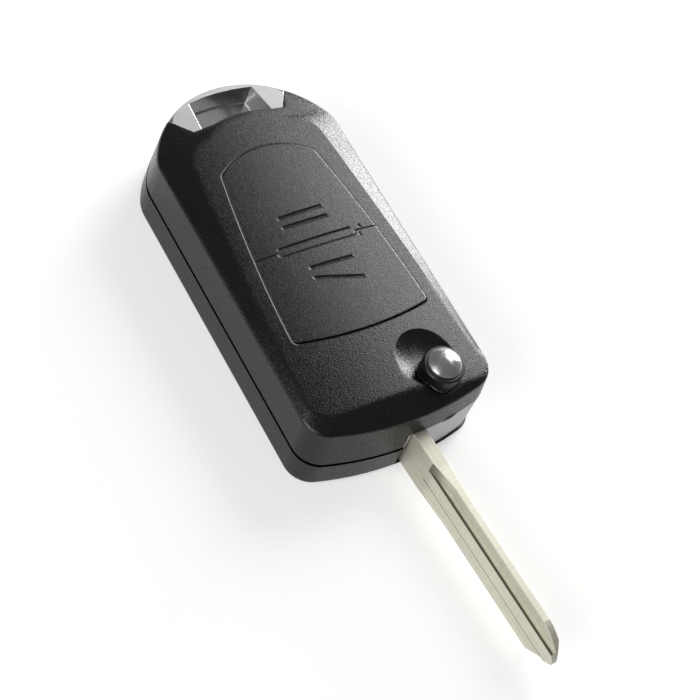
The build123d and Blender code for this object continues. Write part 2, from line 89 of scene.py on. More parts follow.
class Signal:
    """A shader socket that Python expressions work on."""

    def __init__(self, finish, socket):
        self.finish = finish
        self.socket = socket

    def maths(self, operation, *values):
        """Add a Math node on one or two values."""
        return self.finish.node("ShaderNodeMath", {"operation": operation}, dict(enumerate(values)))

    def __add__(self, other):
        return self.maths("ADD", self, other)

    def __radd__(self, other):
        return self.maths("ADD", other, self)

    def __sub__(self, other):
        return self.maths("SUBTRACT", self, other)

    def __rsub__(self, other):
        return self.maths("SUBTRACT", other, self)

    def __mul__(self, other):
        return self.maths("MULTIPLY", self, other)

    def __rmul__(self, other):
        return self.maths("MULTIPLY", other, self)

    def __truediv__(self, other):
        return self.maths("DIVIDE", self, other)

    def larger(self, other):
        """The larger of two values."""
        return self.maths("MAXIMUM", self, other)

    def distance(self, place):
        """How far a value lies from a place, either way."""
        return self.maths("ABSOLUTE", self - place)

    def above(self, edge, softness):
        """0 below an edge and 1 above it, with a soft step between."""
        settings = {"interpolation_type": "SMOOTHSTEP"}
        sockets = {"Value": self, "From Min": edge - softness, "From Max": edge + softness}
        return self.finish.node("ShaderNodeMapRange", settings, sockets)


class Finish:
    """A node tree under construction, for a material or the world."""

    edge_samples = 4
    lit_turn = 0.3
    lit_softness = 0.16
    flat_likeness = 0.9
    flat_softness = 0.07

    def __init__(self, owner):
        self.owner = owner
        owner.use_nodes = True
        self.tree = owner.node_tree
        self.tree.nodes.clear()

    def node(self, kind, settings=None, sockets=None, output=0):
        """Add a node: its settings are set first, then its sockets' values or links."""
        made = self.tree.nodes.new(kind)
        for key, value in (settings or {}).items():
            setattr(made, key, value)
        for key, value in (sockets or {}).items():
            if isinstance(value, Signal):
                self.tree.links.new(value.socket, made.inputs[key])
            else:
                made.inputs[key].default_value = value
        return Signal(self, made.outputs[output] if made.outputs else None)

    def object_place(self):
        """Place on the object in metres."""
        return self.node("ShaderNodeTexCoord", output="Object")

    def stretched(self, place, stretch):
        """A place multiplied by a factor along each axis."""
        return self.node("ShaderNodeMapping", {}, {"Vector": place, "Scale": stretch})

    def millimetres(self):
        """Place on the object in millimetres, as three signals."""
        return self.parts_of(self.stretched(self.object_place(), (1 / MM, 1 / MM, 1 / MM)))

    def noise(self, size, detail=3.0, stretch=(1.0, 1.0, 1.0), place=None):
        """Noise with features of a size, in the unit of its place: metres on the object if none is given."""
        place = self.stretched(place or self.object_place(), stretch)
        sockets = {"Vector": place, "Scale": 1.0 / size, "Detail": detail}
        return self.node("ShaderNodeTexNoise", {}, sockets)

    def parts_of(self, vector):
        """The three parts of a vector."""
        return [self.node("ShaderNodeSeparateXYZ", {}, {0: vector}, output=axis) for axis in "XYZ"]

    def blend(self, share, low, high):
        """Mix two colours by a share."""
        return self.node("ShaderNodeMix", {"data_type": "RGBA"}, {0: share, 6: low, 7: high}, output=2)

    def either(self, share, low, high):
        """Mix two normals by a share."""
        return self.node("ShaderNodeMix", {"data_type": "VECTOR"}, {0: share, 4: low, 5: high}, output=1)

    def bump(self, height, depth, under=None):
        """Normal of a relief of a depth in metres, over another normal if one is given."""
        sockets = {"Height": height, "Distance": depth, "Strength": 1.0}
        if under is not None:
            sockets["Normal"] = under
        return self.node("ShaderNodeBump", {}, sockets)

    def eased_edges(self, radius):
        """Normal that eases sharp edges."""
        return self.node("ShaderNodeBevel", {"samples": self.edge_samples}, {"Radius": radius})

    def face_normal(self):
        """Normal of the face itself, not eased."""
        return self.node("ShaderNodeNewGeometry", output="True Normal")

    def lit_edge(self, radius, axis=0):
        """1 along sharp edges whose other face looks along an axis, 0 elsewhere."""
        turned = self.parts_of(self.eased_edges(radius))[axis]
        plain = self.parts_of(self.face_normal())[axis]
        return (turned - plain).above(self.lit_turn, self.lit_softness)

    def near_edge(self, radius):
        """1 beside any sharp edge, 0 elsewhere."""
        sockets = {0: self.eased_edges(radius), 1: self.face_normal()}
        likeness = self.node("ShaderNodeVectorMath", {"operation": "DOT_PRODUCT"}, sockets, output="Value")
        return 1.0 - likeness.above(self.flat_likeness, self.flat_softness)

    def shader(self, **sockets):
        """One surface shader."""
        named = {key.replace("_", " "): value for key, value in sockets.items()}
        return self.node("ShaderNodeBsdfPrincipled", {}, named)

    def close(self, shader):
        """Close a material's tree with its shader."""
        self.node("ShaderNodeOutputMaterial", {}, {"Surface": shader})
        return self.owner

    def surface(self, **sockets):
        """Close a material's tree with one surface shader."""
        return self.close(self.shader(**sockets))


def new_finish(name):
    """Start the finish of a new material."""
    return Finish(bpy.data.materials.new(name))


def tone(colour, factor=1.0):
    """Colour with its alpha, made lighter or darker."""
    return (*[part * factor for part in colour[:3]], 1.0)


class Grain:
    """Look of moulded grain, and of the painted shade beside edges: sizes are multiples of a grain's, tones
    multiply the plastic's colour.
    """

    fine_size = 0.5
    fine_share = 0.3
    cloud_size = 26.0
    cloud_share = 0.25
    cloud_haze = 0.1
    speck_level = 0.6
    speck_share = 0.7
    speck_shine = 0.1
    pit_level = 0.45
    pit_haze = 0.08
    softness = 0.07
    dark_tone = 0.5
    light_tone = 3.2
    # Painted shade beside edges: its reach in widths of the painted highlight line, its near-black tone and
    # its added roughness
    gap_shade_reach = 1.4
    gap_shade_tone = 0.05
    gap_shade_haze = 0.6
    specular = 0.55


def grained_plastic(finish, colour, grain, roughness, edges, glint=None, gap_shade=None):
    """Shader of black plastic with a grain of a size and depth, a painted highlight line and painted shade
    beside edges.
    """
    size, depth = grain
    coarse = finish.noise(size, 2.0)
    fine = finish.noise(size * Grain.fine_size, 1.0)
    cloud = finish.noise(size * Grain.cloud_size, 3.0)
    speck = coarse.above(Grain.speck_level, Grain.softness)
    pit = 1.0 - coarse.above(Grain.pit_level, Grain.softness)
    share = speck * Grain.speck_share + cloud * Grain.cloud_share
    plate = finish.blend(share, tone(colour, Grain.dark_tone), tone(colour, Grain.light_tone))
    haze = roughness + (cloud - NOISE_MIDDLE) * Grain.cloud_haze
    haze = haze - speck * Grain.speck_shine + pit * Grain.pit_haze
    # Painted shade: the plastic turns near black beside sharp edges between parts, where shade falls
    if gap_shade is not None:
        plate = finish.blend(gap_shade, plate, tone(colour, Grain.gap_shade_tone))
        haze = haze + gap_shade * Grain.gap_shade_haze
    # Painted highlight: a white line along edges that turn towards the lamps
    if glint is not None:
        plate = finish.blend(glint, plate, WHITE)
    relief = coarse * (1.0 - Grain.fine_share) + fine * Grain.fine_share
    return finish.shader(
        Base_Color=plate,
        Roughness=haze,
        Specular_IOR_Level=Grain.specular,
        Normal=finish.bump(relief, depth, edges),
    )


def moulded_plastic(name, colour, grain, roughness, edge, glint_size=0.0):
    """Moulded black plastic, with a painted highlight line on edges that face the lamps and painted shade
    beside its other edges, if that line has a size.
    """
    finish = new_finish(name)
    glint = gap_shade = None
    # Painted highlight on edges that turn towards +X, where the lamps stand, and painted shade beside the
    # other edges
    if glint_size:
        glint = finish.lit_edge(glint_size)
        gap_shade = finish.near_edge(glint_size * Grain.gap_shade_reach) * (1.0 - glint)
    edges = finish.eased_edges(edge)
    return finish.close(grained_plastic(finish, colour, grain, roughness, edges, glint, gap_shade))


class CoverSurface:
    """Zones of the covers that their finish follows, in millimetres.

    A pair is a place and the softness of the step there.
    """

    crown_radius = 120.0
    crown_fall = 1.7
    crown_softness = 0.15
    opening_lean = 0.12
    opening_margin = 0.2
    opening_end_margin = 1.6
    opening_softness = 0.5
    right_side = (9.0, 1.0)
    ring_half = (-12.0, 5.0)
    blade_end_reach = 9.5
    blade_end_softness = 1.0
    corner_end = (-29.0, 1.5)
    corner_left = (4.0, 4.0)
    corner_depth = (1.0, 0.5)
    lobe_end = (26.0, 1.5)
    lobe_left = (1.5, 1.0)
    lobe_right = (13.6, 1.4)
    lobe_height = (15.2, 0.3)
    flattening = 0.9
    seam_softness = 0.05

    def __init__(self, finish):
        cover_low, cover_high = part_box("front_cover")
        keys_low, keys_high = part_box("unlock_key")[0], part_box("lock_key")[1]
        half_opening = 0.5 * (keys_high[0] - keys_low[0]) / MM - self.opening_margin
        opening_end = keys_high[1] / MM + self.opening_end_margin
        self.finish = finish
        self.x, self.y, self.z = finish.millimetres()
        self.blade_end = cover_low[1] / MM
        self.parting = cover_low[2] / MM
        self.top = cover_high[2] / MM
        # The sides of the key opening lean in towards the ring end
        leaning = self.x.distance(0.0) + self.y * self.opening_lean
        self.beside_opening = leaning.above(half_opening, self.opening_softness)
        self.past_opening = self.y.above(opening_end, self.opening_softness)
        self.on_crown = self.z.above(self.top - self.crown_fall, self.crown_softness)

    def soft_lines(self):
        """1 on the soft edges of the crown, at both ends and beside the key opening.

        On the opening's right they are soft only towards the blade.
        """
        right = self.x.above(*self.right_side) * self.y.above(*self.ring_half)
        blade_end = 1.0 - self.y.above(self.blade_end + self.blade_end_reach, self.blade_end_softness)
        beside = self.beside_opening * (1.0 - right)
        return beside.larger(self.past_opening).larger(blade_end) * self.on_crown

    def around_opening(self):
        """1 on the middle of the crown, from the blade end to just past the key opening."""
        return (1.0 - self.past_opening) * (1.0 - self.beside_opening) * self.on_crown

    def flat_corner(self):
        """1 on the upper half of the bevel in the corner beside the button."""
        below_crown = self.top - self.z - self.x * self.x / (2.0 * self.crown_radius)
        corner = (1.0 - self.y.above(*self.corner_end)) * self.x.above(*self.corner_left)
        return corner * (1.0 - below_crown.above(*self.corner_depth))

    def flat_lobe(self):
        """1 on the lobe beside the right foot of the arch."""
        across = self.x.above(*self.lobe_left) * (1.0 - self.x.above(*self.lobe_right))
        return self.y.above(*self.lobe_end) * across * self.z.above(*self.lobe_height)

    def crown_normal(self):
        """Normal of the crown as if it had no bevels."""
        sockets = {0: self.x / self.crown_radius, 1: 0.0, 2: 1.0}
        leaning = self.finish.node("ShaderNodeCombineXYZ", {}, sockets)
        return self.finish.node("ShaderNodeVectorMath", {"operation": "NORMALIZE"}, {0: leaning})

    def seam(self, height):
        """1 on the seam, which stands a height in metres above the parting line."""
        half = 0.5 * height / MM
        return 1.0 - self.z.distance(self.parting + half).above(half, self.seam_softness)


def cover_plastic(name, colour, texture, roughness):
    """Plastic of the covers: soft crown lines, a painted highlight on the lit edges of the key opening,
    painted shade beside the crown's other sharp edges and a painted black shadow in the seam.
    """
    seam_shadow_black = (0.001, 0.001, 0.001)
    finish = new_finish(name)
    cover = CoverSurface(finish)
    crisp = finish.eased_edges(texture.edge)
    edges = finish.either(cover.soft_lines(), crisp, finish.eased_edges(texture.soft_edge))
    flat = cover.flat_corner().larger(cover.flat_lobe()) * cover.flattening
    edges = finish.either(flat, edges, cover.crown_normal())
    # Painted highlight on the lit edges around the key opening, and painted shade beside the crown's other
    # sharp edges
    glint = finish.lit_edge(texture.glint) * cover.around_opening()
    gap_shade = finish.near_edge(texture.glint * Grain.gap_shade_reach) * (1.0 - glint) * cover.on_crown
    grain = (texture.grain_size, texture.grain_depth)
    plastic = grained_plastic(finish, colour, grain, roughness, edges, glint, gap_shade)
    # Painted shadow: a black, unshiny band along the seam between the covers
    shadow = finish.shader(Base_Color=tone(seam_shadow_black), Roughness=1.0, Specular_IOR_Level=0.0)
    both = finish.node("ShaderNodeMixShader", {}, {0: cover.seam(texture.seam), 1: plastic, 2: shadow})
    return finish.close(both)


def polished_chrome(name, colour, metallic, roughness, edge, wave_size, wave_depth):
    """Chrome plate with the slight waves and haze of plated plastic."""
    haze_size = 1.2 * MM
    haze_level = 0.55
    haze_softness = 0.2
    haze_roughness = 0.06
    haze_tone = 0.93
    finish = new_finish(name)
    wave = finish.noise(wave_size, 1.0)
    haze = finish.noise(haze_size, 4.0)
    return finish.surface(
        Base_Color=finish.blend(haze, tone(colour, haze_tone), tone(colour)),
        Metallic=metallic,
        Roughness=roughness + haze.above(haze_level, haze_softness) * haze_roughness,
        Normal=finish.bump(wave, wave_depth, finish.eased_edges(edge)),
    )


def satin_silver(name, colour, edge):
    """Silver coat on the cast head, satin and faintly cloudy."""
    cloud_size = 3.0 * MM
    cloud_share = 0.6
    cloud_haze = 0.12
    flake_size = 0.12 * MM
    flake_depth = 0.004 * MM
    finish = new_finish(name)
    cloud = finish.noise(cloud_size, 3.0)
    flake = finish.noise(flake_size, 1.0)
    share = cloud * cloud_share + flake * (1.0 - cloud_share)
    return finish.surface(
        Base_Color=finish.blend(share, tone(colour, 0.9), tone(colour, 1.06)),
        Metallic=0.35,
        Roughness=0.42 + (cloud - NOISE_MIDDLE) * cloud_haze,
        Normal=finish.bump(flake, flake_depth, finish.eased_edges(edge)),
    )


class BladeSurface:
    """Steps of the blade as its finish follows them, in millimetres in the blade's own frame.

    A line is half its width and the softness of its edges.
    """

    lean = 3.0
    middle = -6.07
    middle_softness = 0.01
    half_thickness = 1.3
    start = -12.2
    run_out_length = 2.6
    rim = 0.1
    rim_softness = 0.05
    ledge_drop = 2.4
    ledge_width = 0.5
    ledge_line = (0.07, 0.03)
    shelf_rise = 3.3
    shelf_line = (0.17, 0.06)
    step_softness = 0.06

    def __init__(self, finish):
        pivot = joint_of("blade_flip")["pos_m"]
        low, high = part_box("key_blade")
        self.top = high[2] / MM
        self.ledge_height = self.top - self.ledge_drop
        self.shelf_height = low[2] / MM + self.shelf_rise
        sockets = {
            "Vector": finish.object_place(),
            "Location": (pivot[0], pivot[1], 0.0),
            "Rotation": (0.0, 0.0, math.radians(self.lean)),
            "Scale": (MM, MM, MM),
        }
        self.place = finish.node("ShaderNodeMapping", {"vector_type": "TEXTURE"}, sockets)
        self.finish = finish
        x, self.y, height = finish.parts_of(self.place)
        far_side = x.above(self.middle, self.middle_softness)
        self.depth = x.distance(self.middle)
        self.z = height + far_side * ((low[2] + high[2]) / MM - 2.0 * height)

    def lines(self, size, stretch=(1.0, 1.0, 1.0)):
        """Noise in the blade's frame, drawn out along or across it."""
        return self.finish.noise(size, 3.0, stretch, self.place)

    def milled(self, softness=0.2):
        """1 on the stretch that is milled, 0 at the root."""
        return 1.0 - self.y.above(self.start - softness, softness)

    def run_out(self):
        """Shade where the cutter of the deep step came out: dark at its start, gone further on."""
        fading = self.y.above(self.start - self.run_out_length, self.run_out_length)
        below_top = 1.0 - self.z.above(self.top - self.rim, self.rim_softness)
        return fading * self.milled() * self.z.above(self.ledge_height, self.step_softness) * below_top

    def ledge(self):
        """Shade along the outer part of the ledge that the deep step leaves."""
        level = 1.0 - self.z.distance(self.ledge_height).above(*self.ledge_line)
        outer = self.depth.above(self.half_thickness - self.ledge_width, self.step_softness)
        return level * self.milled() * outer

    def shelf_edge(self):
        """Thin shade along the edge of the shallow step."""
        level = 1.0 - self.z.distance(self.shelf_height).above(*self.shelf_line)
        return level * self.milled()


def milled_nickel(name, colours, edge):
    """Nickel plate over milled brass: long cutter lines, fine chatter across, and shade in the steps."""
    line_size, line_stretch, line_share = 0.5, (2.0, 0.03, 2.0), 0.4
    chatter_size, chatter_stretch, chatter_share = 0.36, (0.1, 1.4, 0.1), 0.4
    chatter_start = 1.6
    cloud_size, cloud_share = 6.0, 0.2
    cut_level, cut_softness, cut_middle = 0.42, 0.16, 0.4
    cut_depth = 0.03 * MM
    highlight_width, highlight_tone = 3.4 * edge, 1.15
    run_out_share, ledge_share, shelf_share = 0.8, 0.9, 0.75
    finish = new_finish(name)
    blade = BladeSurface(finish)
    lines = blade.lines(line_size, line_stretch)
    chatter = blade.lines(chatter_size, chatter_stretch) * blade.milled(chatter_start)
    cut = lines * line_share + chatter * chatter_share + blade.lines(cloud_size) * cloud_share
    plate = finish.blend(cut.above(cut_level, cut_softness), tone(colours.blade_shade), tone(colours.blade))
    # Painted highlight: lighter nickel along edges that turn upwards, towards the lamps
    plate = finish.blend(finish.lit_edge(highlight_width, axis=2), plate, tone(colours.blade, highlight_tone))
    # Painted shade in the steps: where the deep step runs out, along its ledge and along the edge of the
    # shallow step
    dark = (blade.run_out() * run_out_share).larger(blade.ledge() * ledge_share)
    dark = dark.larger(blade.shelf_edge() * shelf_share)
    return finish.surface(
        Base_Color=finish.blend(dark, plate, tone(colours.blade_step_shade)),
        Metallic=0.55,
        Roughness=0.46 + (cut - cut_middle) * 0.25 + dark * 0.15,
        Normal=finish.bump(cut, cut_depth, finish.eased_edges(edge)),
    )


def smooth_black(name, colour, edge):
    """Plastic of the button's skirt, smooth and dark with light handling haze."""
    finish = new_finish(name)
    haze = finish.noise(1.5 * MM, 3.0)
    return finish.surface(
        Base_Color=finish.blend(haze, tone(colour, 0.8), tone(colour, 1.3)),
        Roughness=0.3 + haze * 0.15,
        Normal=finish.bump(haze, 0.006 * MM, finish.eased_edges(edge)),
    )


def soft_rubber(name, colour):
    """Matt rubber of the keypad, with a dusty bloom."""
    finish = new_finish(name)
    bloom = finish.noise(2.5 * MM, 4.0)
    skin = finish.noise(0.25 * MM, 2.0)
    return finish.surface(
        Base_Color=finish.blend(bloom, tone(colour, 0.8), tone(colour, 1.35)),
        Roughness=0.78 + (bloom - NOISE_MIDDLE) * 0.15,
        Normal=finish.bump(skin, 0.01 * MM),
    )


def drawn_steel(name, colour, roughness):
    """Plated steel of small hardware, with fine drawn lines."""
    finish = new_finish(name)
    lines = finish.noise(0.3 * MM, 2.0, stretch=(1.0, 1.0, 4.0))
    cloud = finish.noise(1.5 * MM, 3.0)
    return finish.surface(
        Base_Color=finish.blend(cloud, tone(colour, 0.8), tone(colour, 1.1)),
        Metallic=1.0,
        Roughness=roughness + (lines - NOISE_MIDDLE) * 0.2,
        Normal=finish.bump(lines, 0.006 * MM),
    )


def dress(node, material):
    """Give a node of the frame its material."""
    slots = frame["nodes"][node].data.materials
    slots.clear()
    slots.append(material)


def add_object(name, data):
    """Add an object with its data to the scene."""
    made = bpy.data.objects.new(name, data)
    bpy.context.scene.collection.objects.link(made)
    return made


def mesh_object(name, mesh):
    """Add an object made from a bmesh, which is freed."""
    data = bpy.data.meshes.new(name)
    mesh.to_mesh(data)
    mesh.free()
    return add_object(name, data)


def smooth_faces(data, sharp_from):
    """Shade a mesh smooth, with its edges sharp from an angle in degrees."""
    data.shade_smooth()
    data.set_sharp_from_angle(angle=math.radians(sharp_from))


def top_of(shape, x, y, low, high):
    """Height of a shape's top above a place, looked for between two heights."""
    reach = high - low
    hit, where, _, _ = shape.ray_cast(Vector((x, y, high)), Vector((0, 0, -1)), distance=reach)
    return where.z if hit else low


def capsule_rings(length, radius, stations=28, cap_rings=6):
    """Place along a capsule and radius of each of its rings, from tip to tip."""
    cap = []
    for step in range(cap_rings):
        angle = math.pi / 2 * (1 - (step + 0.5) / cap_rings)
        cap.append((radius * math.sin(angle), radius * math.cos(angle)))
    first = [(-reach, ring_radius) for reach, ring_radius in cap]
    middle = [(length * step / stations, radius) for step in range(stations + 1)]
    last = [(length + reach, ring_radius) for reach, ring_radius in reversed(cap)]
    return first + middle + last


def stroke_cutter(shape, start, end, radius, rise, around=20):
    """Bent capsule that follows a shape's top from start to end, to cut a round-bottomed stroke."""
    low, high = shape.bound_box[0][2], shape.bound_box[6][2] + MM
    along = end - start
    length = along.length
    along.normalize()
    across = Vector((-along.y, along.x))
    mesh = bmesh.new()
    loops = []
    for place, ring_radius in capsule_rings(length, radius):
        centre = start + along * place
        under = start + along * min(max(place, 0.0), length)
        height = top_of(shape, under.x, under.y, low, high) + rise
        loop = []
        for turn in range(around):
            angle = 2 * math.pi * turn / around
            side = across * ring_radius * math.cos(angle)
            point = (centre.x + side.x, centre.y + side.y, height + ring_radius * math.sin(angle))
            loop.append(mesh.verts.new(point))
        loops.append(loop)
    for first, second in zip(loops, loops[1:]):
        for turn in range(around):
            after = (turn + 1) % around
            mesh.faces.new((first[turn], first[after], second[after], second[turn]))
    mesh.faces.new(reversed(loops[0]))
    mesh.faces.new(loops[-1])
    bmesh.ops.recalc_face_normals(mesh, faces=mesh.faces)
    return mesh_object("stroke_cutter", mesh)


def closed_copy(node, name):
    """Copy of a node with its doubled vertices merged, so that it can be cut, and with no material."""
    mesh = bmesh.new()
    mesh.from_mesh(frame["nodes"][node].data)
    bmesh.ops.remove_doubles(mesh, verts=mesh.verts, dist=0.002 * MM)
    piece = mesh_object(name, mesh)
    attributes = piece.data.attributes
    if "custom_normal" in attributes:
        attributes.remove(attributes["custom_normal"])
    piece.data.materials.clear()
    return piece


def cut_away(piece, cutters):
    """Cut the cutters out of a piece for good, and remove them."""
    for cutter in cutters:
        modifier = piece.modifiers.new("cut", "BOOLEAN")
        modifier.operation = "DIFFERENCE"
        modifier.solver = "EXACT"
        modifier.object = cutter
    bpy.context.view_layer.update()
    ready = piece.evaluated_get(bpy.context.evaluated_depsgraph_get())
    data = bpy.data.meshes.new_from_object(ready)
    if not data.polygons:
        raise RuntimeError("the cut left nothing of " + piece.name)
    piece.modifiers.clear()
    piece.data = data
    for cutter in cutters:
        bpy.data.objects.remove(cutter)


class ShellColours(bpy.types.PropertyGroup):
    """Colours of the finishes."""

    case: FloatVectorProperty(
        name="Case", description="Black plastic of both covers",
        subtype="COLOR", size=3, min=0, max=1, default=(0.0075, 0.0075, 0.008))
    keys: FloatVectorProperty(
        name="Keys", description="Black plastic of the two keys",
        subtype="COLOR", size=3, min=0, max=1, default=(0.0085, 0.0085, 0.009))
    chrome: FloatVectorProperty(
        name="Chrome", description="Plate of the arch and the button cap",
        subtype="COLOR", size=3, min=0, max=1, default=(0.80, 0.80, 0.81))
    head: FloatVectorProperty(
        name="Head", description="Silver coat of the blade head",
        subtype="COLOR", size=3, min=0, max=1, default=(0.74, 0.74, 0.79))
    blade: FloatVectorProperty(
        name="Blade", description="Nickel plate of the blade",
        subtype="COLOR", size=3, min=0, max=1, default=(0.88, 0.86, 0.72))
    blade_shade: FloatVectorProperty(
        name="Blade shade", description="Nickel plate in the cutter lines",
        subtype="COLOR", size=3, min=0, max=1, default=(0.66, 0.64, 0.53))
    # Colour of the painted shade in the steps of the blade
    blade_step_shade: FloatVectorProperty(
        name="Blade groove", description="Shade in the steps of the blade",
        subtype="COLOR", size=3, min=0, max=1, default=(0.10, 0.09, 0.065))
    steel: FloatVectorProperty(
        name="Steel", description="Spring, pin, washer and screws",
        subtype="COLOR", size=3, min=0, max=1, default=(0.55, 0.55, 0.57))
    rubber: FloatVectorProperty(
        name="Rubber", description="Membrane under the keys",
        subtype="COLOR", size=3, min=0, max=1, default=(0.05, 0.05, 0.055))


class ShellTexture(bpy.types.PropertyGroup):
    """Sizes of the surface textures."""

    grain_size: FloatProperty(
        name="Grain size", description="Grain of the moulded plastic",
        unit="LENGTH", default=0.0003, min=0.00005)
    grain_depth: FloatProperty(
        name="Grain depth", description="Relief of the grain",
        unit="LENGTH", default=0.000066, min=0.0)
    edge: FloatProperty(
        name="Edge", description="Easing of moulded and cast edges",
        unit="LENGTH", default=0.00016, min=0.0)
    soft_edge: FloatProperty(
        name="Soft edge", description="Easing of the soft crown lines",
        unit="LENGTH", default=0.0014, min=0.0)
    # Width of the painted highlight along the lit edges of the key opening and the keys; the painted shade
    # beside edges reaches further
    glint: FloatProperty(
        name="Glint", description="Width of the rubbed edges of the key opening",
        unit="LENGTH", default=0.0004, min=0.0)
    # Height of the band of painted shadow in the seam between the covers
    seam: FloatProperty(
        name="Seam", description="Height of the dark seam between the covers",
        unit="LENGTH", default=0.00066, min=0.0)


class KeyMarks(bpy.types.PropertyGroup):
    """Sizes of the marks cut into the keys."""

    stroke_width: FloatProperty(
        name="Stroke width", description="Width of a stroke",
        unit="LENGTH", default=0.00072, min=0.0001)
    stroke_depth: FloatProperty(
        name="Stroke depth", description="Depth of a stroke",
        unit="LENGTH", default=0.00028, min=0.00005)
    line_width: FloatProperty(
        name="Line width", description="Width of the line along the bar on the key split",
        unit="LENGTH", default=0.00036, min=0.0001)


class Studio(bpy.types.PropertyGroup):
    """Camera, lamps and floor."""

    lens: FloatProperty(name="Lens", description="Focal length", unit="CAMERA", default=127.2, min=10)
    camera_place: FloatVectorProperty(
        name="Camera", description="Place of the camera", subtype="TRANSLATION", size=3,
        default=(-0.20307, -0.17190, 0.35297))
    floor_colour: FloatVectorProperty(
        name="Floor", description="Colour of the floor",
        subtype="COLOR", size=3, min=0, max=1, default=(0.86, 0.86, 0.86))
    main_power: FloatProperty(
        name="Main lamp", description="Power of the main lamp", unit="POWER", default=1.3)
    low_power: FloatProperty(
        name="Low lamp", description="Power of the low lamp", unit="POWER", default=2.9)
    fill_power: FloatProperty(
        name="Fill lamp", description="Power of the fill lamp", unit="POWER", default=1.9)
    arch_power: FloatProperty(
        name="Arch lamp", description="Power of the lamp for the arch", unit="POWER", default=0.045)
    world_light: FloatProperty(name="World", description="Even light from all round", default=0.12, min=0)
    floor_glow: FloatProperty(name="Floor glow", description="Glow that the camera sees", default=0.5, min=0)


class FLIPKEY_OT_covers(bpy.types.Operator):
    """Finish the front and back covers"""

    bl_idname = "flipkey.covers"
    bl_label = "Finish covers"

    roughness = 0.22

    def execute(self, context):
        scene = context.scene
        colour = scene.flipkey_colours.case
        plastic = cover_plastic("case_plastic", colour, scene.flipkey_texture, self.roughness)
        for node in ("front_cover", "back_cover"):
            dress(node, plastic)
        return {"FINISHED"}


class FLIPKEY_OT_keys(bpy.types.Operator):
    """Cut the marks into the two keys and finish them"""

    bl_idname = "flipkey.keys"
    bl_label = "Finish keys"

    roughness = 0.21
    edge_share = 0.6
    sharp_from = 28

    # The ends, in millimetres, of two strokes and a pip on each key, and of the line above the split
    strokes = {
        "lock_key": (((-4.2, 6.5), (4.5, 6.6)), ((-4.3, 4.5), (4.6, 4.5)), ((9.3, 0.85), (9.55, 0.8))),
        "unlock_key": (
            ((-3.7, -4.4), (4.7, -4.6)), ((-4.0, -6.4), (4.8, -9.0)), ((8.6, -0.75), (8.75, -0.8))),
    }
    lines = {"lock_key": (((-7.4, 0.85), (7.4, 0.95)),), "unlock_key": ()}

    def execute(self, context):
        scene = context.scene
        marks = scene.flipkey_marks
        texture = scene.flipkey_texture
        grain = (texture.grain_size, texture.grain_depth)
        edge = texture.edge * self.edge_share
        colour = scene.flipkey_colours.keys
        plastic = moulded_plastic("key_plastic", colour, grain, self.roughness, edge, texture.glint)
        for node, strokes in self.strokes.items():
            shape = frame["nodes"][node]
            key = closed_copy(node, node + "_marked")
            cutters = [self.cutter(shape, ends, marks.stroke_width, marks.stroke_depth) for ends in strokes]
            for ends in self.lines[node]:
                cutters.append(self.cutter(shape, ends, marks.line_width, marks.stroke_depth))
            cut_away(key, cutters)
            smooth_faces(key.data, self.sharp_from)
            key.data.materials.append(plastic)
            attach(key, shape["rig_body"])
            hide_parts(node)
        return {"FINISHED"}

    def cutter(self, shape, ends, width, depth):
        """Cutter of a stroke with a width and a depth in a shape's top, between ends in millimetres."""
        start, end = (Vector(point) * MM for point in ends)
        radius = (width * width / 4 + depth * depth) / (2 * depth)
        return stroke_cutter(shape, start, end, radius, radius - depth)


class FLIPKEY_OT_chrome(bpy.types.Operator):
    """Finish the key-ring arch and the cap of the release button"""

    bl_idname = "flipkey.chrome"
    bl_label = "Finish chrome"

    cap_share = 0.78

    def execute(self, context):
        colour = context.scene.flipkey_colours.chrome
        edge = context.scene.flipkey_texture.edge
        arch = polished_chrome("arch_chrome", colour, metallic=0.92, roughness=0.2, edge=edge,
                               wave_size=4.0 * MM, wave_depth=0.02 * MM)
        dress("keyring_arch", arch)
        cap_colour = tone(colour, self.cap_share)
        cap = polished_chrome("cap_chrome", cap_colour, metallic=0.85, roughness=0.28, edge=edge * 0.5,
                              wave_size=2.4 * MM, wave_depth=0.3 * MM)
        dress("release_cap", cap)
        return {"FINISHED"}


class FLIPKEY_OT_blade(bpy.types.Operator):
    """Finish the blade, its head and its pin"""

    bl_idname = "flipkey.blade"
    bl_label = "Finish blade and head"

    blade_edge_share = 0.7
    pin_roughness = 0.3

    def execute(self, context):
        colours = context.scene.flipkey_colours
        edge = context.scene.flipkey_texture.edge
        dress("flip_head", satin_silver("head_metal", colours.head, edge))
        dress("key_blade", milled_nickel("blade_nickel", colours, edge * self.blade_edge_share))
        dress("blade_pin", drawn_steel("pin_steel", colours.steel, self.pin_roughness))
        return {"FINISHED"}


class FLIPKEY_OT_button(bpy.types.Operator):
    """Finish the skirt of the release button"""

    bl_idname = "flipkey.button"
    bl_label = "Finish release button"

    case_share = 0.6

    def execute(self, context):
        scene = context.scene
        black = tone(scene.flipkey_colours.case, self.case_share)
        dress("release_button", smooth_black("button_plastic", black, scene.flipkey_texture.edge))
        return {"FINISHED"}


